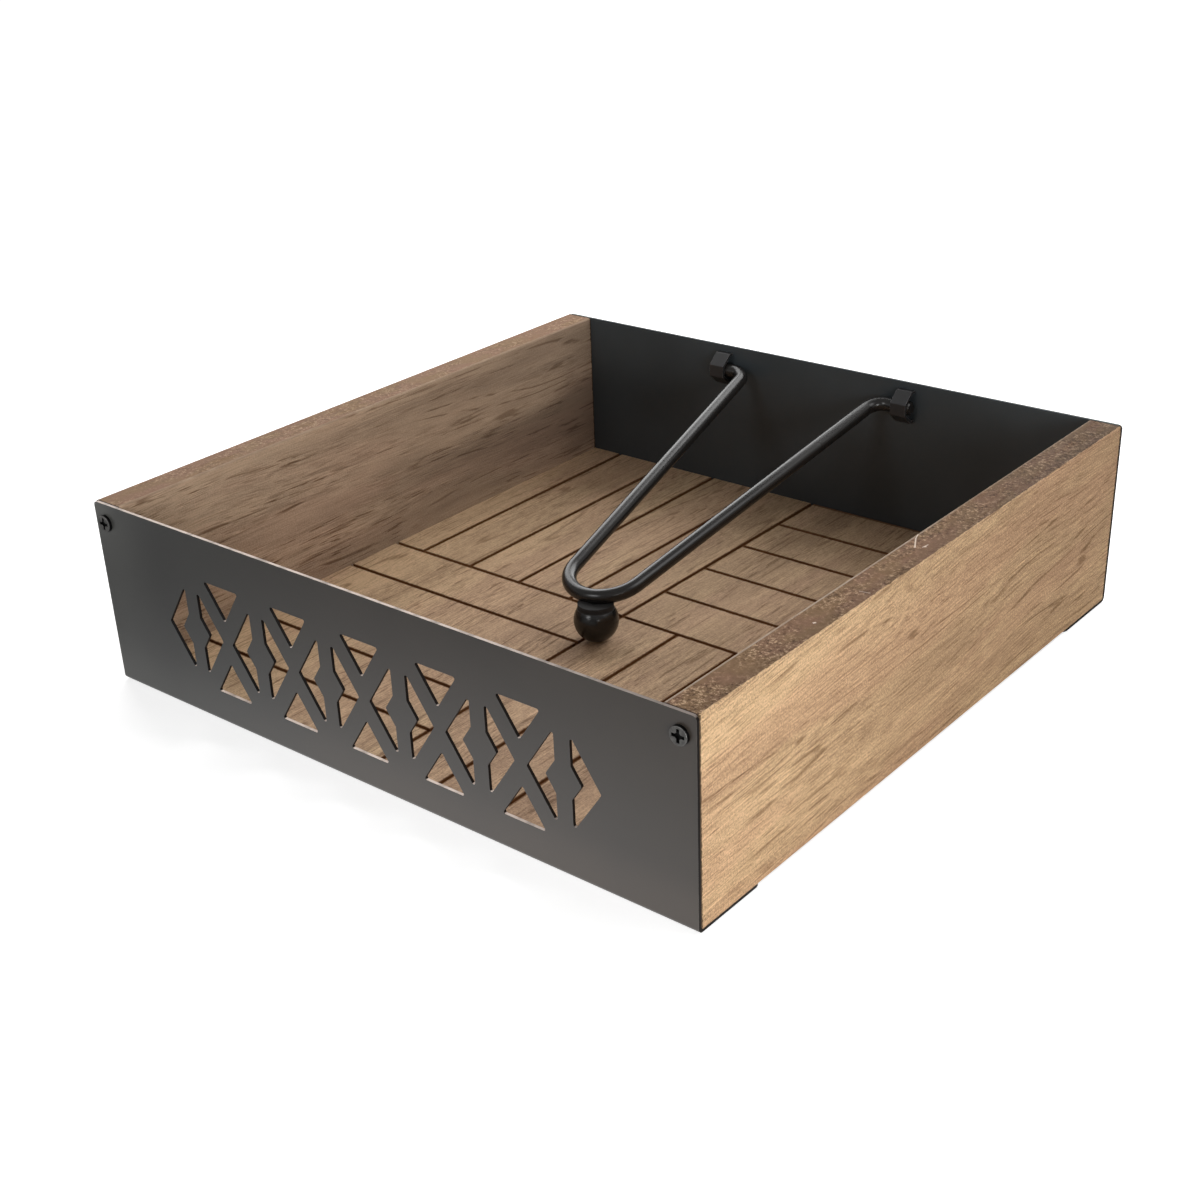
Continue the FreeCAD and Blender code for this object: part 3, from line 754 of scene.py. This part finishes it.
def back_plate_tone(s, tint):
    """Inside the tray it is cool, painted paler towards the top as light; its end faces are painted nearly
    black as shade.
    """
    painted_light = s.by_place(BACK_PAINTED_LIGHT)
    tint = s.tinted(tint, s.vector(painted_light, painted_light, painted_light))
    tint = s.mix(s.fade(s.facing_y, *OUTWARD_TURN), tint, BACK_OUTER_TONE)
    return s.mix(s.fade(s.away(s.facing_x), *END_TURN), tint, BACK_END_SHADE_TONE)


FRONT_COOL_TINT = (0.80, 1.05, 1.25)
FRONT_WARMER = {"towards the right": (Fade("x", -0.09, 0.03),)}
# Painted light: paler at the left end, at the foot and at the upper left corner
FRONT_PAINTED_LIGHT = {
    "left end": (Fade("x", -0.092, -0.070, 1.9, 1.0),),
    "foot": (Fade("z", 0.002, 0.016, 0.8, 0.0),),
    "upper left corner": (Fade("z", 0.041, 0.049, 0.0, 1.2), Fade("x", -0.092, -0.086, 1.0, 0.0)),
}
# A painted highlight on the cut edges that face up, above the bend and less to the right
FRONT_HIGHLIGHT_PLACES = {
    "above the bend, less to the right": (Fade("z", 0.003, 0.005), Fade("x", 0.02, 0.09, 1.0, 0.35)),
}
FRONT_HIGHLIGHT_BREAKS = Noise(along_y(0.004, 0.01), 8.0, detail=3, shows=(0.30, 0.55))
LEAST_FRONT_HIGHLIGHT = 0.55              # how much of the painted highlight shows where it is least
UPWARD_TURN = (0.60, 0.95)     # between which shares of Z in its normal a cut edge faces up
CUT_EDGE_TURN = (0.3, 0.1)     # between which shares of Y in it a point is on a cut edge
# Painted shade: the cut edges are darkened
CUT_EDGE_SHADE_SHARE = 0.8
CUT_EDGE_SHADE_TONE = (0.006, 0.005, 0.005)
EDGE_HIGHLIGHT_TONE = (0.74, 0.62, 0.545)


def front_plate_tone(s, tint):
    """Warmer towards the right, and paler at its left end, foot and upper left corner as painted light. Its
    cut edges are painted dark as shade, and those that face up carry a painted highlight.
    """
    tint = s.mix(s.by_place(FRONT_WARMER), s.tinted(tint, FRONT_COOL_TINT), tint)
    painted_light = s.by_place(FRONT_PAINTED_LIGHT)
    tint = s.tinted(tint, s.vector(painted_light, painted_light, painted_light))
    on_cut_edge = s.fade(s.away(s.facing_y), *CUT_EDGE_TURN)
    tint = s.mix(s.times(on_cut_edge, CUT_EDGE_SHADE_SHARE), tint, CUT_EDGE_SHADE_TONE)
    upwards = s.fade(s.facing_z, *UPWARD_TURN)
    patchy_highlight = s.times(upwards, s.shown(FRONT_HIGHLIGHT_BREAKS, LEAST_FRONT_HIGHLIGHT), s.by_place(FRONT_HIGHLIGHT_PLACES))
    return s.mix(patchy_highlight, tint, EDGE_HIGHLIGHT_TONE)


# ---------------------------------------------------------------- screws
SCREW_SMUDGE = Noise(0.0011, 9.0, detail=3, shows=(0.3, 0.7))
SCREW_TONES = ((0.115, 0.112, 0.108), (0.180, 0.175, 0.168))
RECESS_SHADE_TONE = (0.006, 0.006, 0.006)
RECESS_SHADE_DEPTH = (0.00008, 0.00020)     # the depths behind a plate screw's outer face over which the painted shade comes in
SCREW_EDGE_RADIUS = 0.00008
SCREW_RELIEF = 0.00001
SCREW_ROUGHNESS = 0.42
SCREW_METALLIC = 0.85


def screw_material(name):
    """Blackened steel, with painted shade nearly black in the plate screws' recesses and behind their outer
    faces.
    """
    s = Shader(name)
    smudge = s.noise(SCREW_SMUDGE)
    tint = s.mix(s.fade(smudge, *SCREW_SMUDGE.shows), *SCREW_TONES)
    head_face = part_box("rear_left_plate_screw")[1].y
    # Painted shade in the recesses and behind the outer faces
    sunk = s.fade(s.minus(head_face, s.away(s.y)), *RECESS_SHADE_DEPTH)
    tint = s.mix(sunk, tint, RECESS_SHADE_TONE)
    return s.finish(base_color=tint, roughness=SCREW_ROUGHNESS, metallic=SCREW_METALLIC,
                    normal=s.bump(smudge, SCREW_RELIEF, s.rounded(SCREW_EDGE_RADIUS)))


# ---------------------------------------------------------------- dress the nodes
def dress():
    """Give each node its own look, or else the look of its material slot."""
    by_name = {
        # On the left wall an edge_gain of 1.45 is painted light: the same fibreboard as the right wall's,
        # paled where its top catches light
        "left_wall": wall_material("left_wall", LEFT_WOOD, left_wall_painted_shading, edge_gain=1.45, speckle=0.45,
                                   arris_highlight_and_wear=(0.36, 0.25, 0.17)),
        "right_wall": wall_material("right_wall", RIGHT_WOOD, right_wall_painted_shading, edge_gain=1.0, speckle=1.0,
                                    arris_highlight_and_wear=(0.46, 0.37, 0.29), edge_painted_shade=right_edge_painted_shade,
                                    scratched=True),
        "floor_panel": panel_material("floor_panel", PANEL_WOOD),
        "front_plate": coat_material("front_plate_coat", FRONT_PLATE_COAT, front_plate_tone),
        "back_plate": coat_material("back_plate_coat", BACK_PLATE_COAT, back_plate_tone),
    }
    by_slot = {
        "black_powder_coat": coat_material("powder_coat", CLIP_COAT),
        "black_wire": coat_material("wire_coat", WIRE_COAT),
        "stud_steel": coat_material("stud_coat", STUD_COAT),
        "black_ball": coat_material("ball_coat", BALL_COAT, matt=matt_collar),
        "screw_steel": screw_material("screw_steel_black"),
    }
    for name, node in nodes.items():
        for place in node.material_slots:
            place.material = by_name.get(name) or by_slot[place.material.name.split(".")[0]]


add_camera()
add_stage()
add_sky()
add_lamps()
dress()

bpy.context.scene.view_settings.view_transform = "Standard"
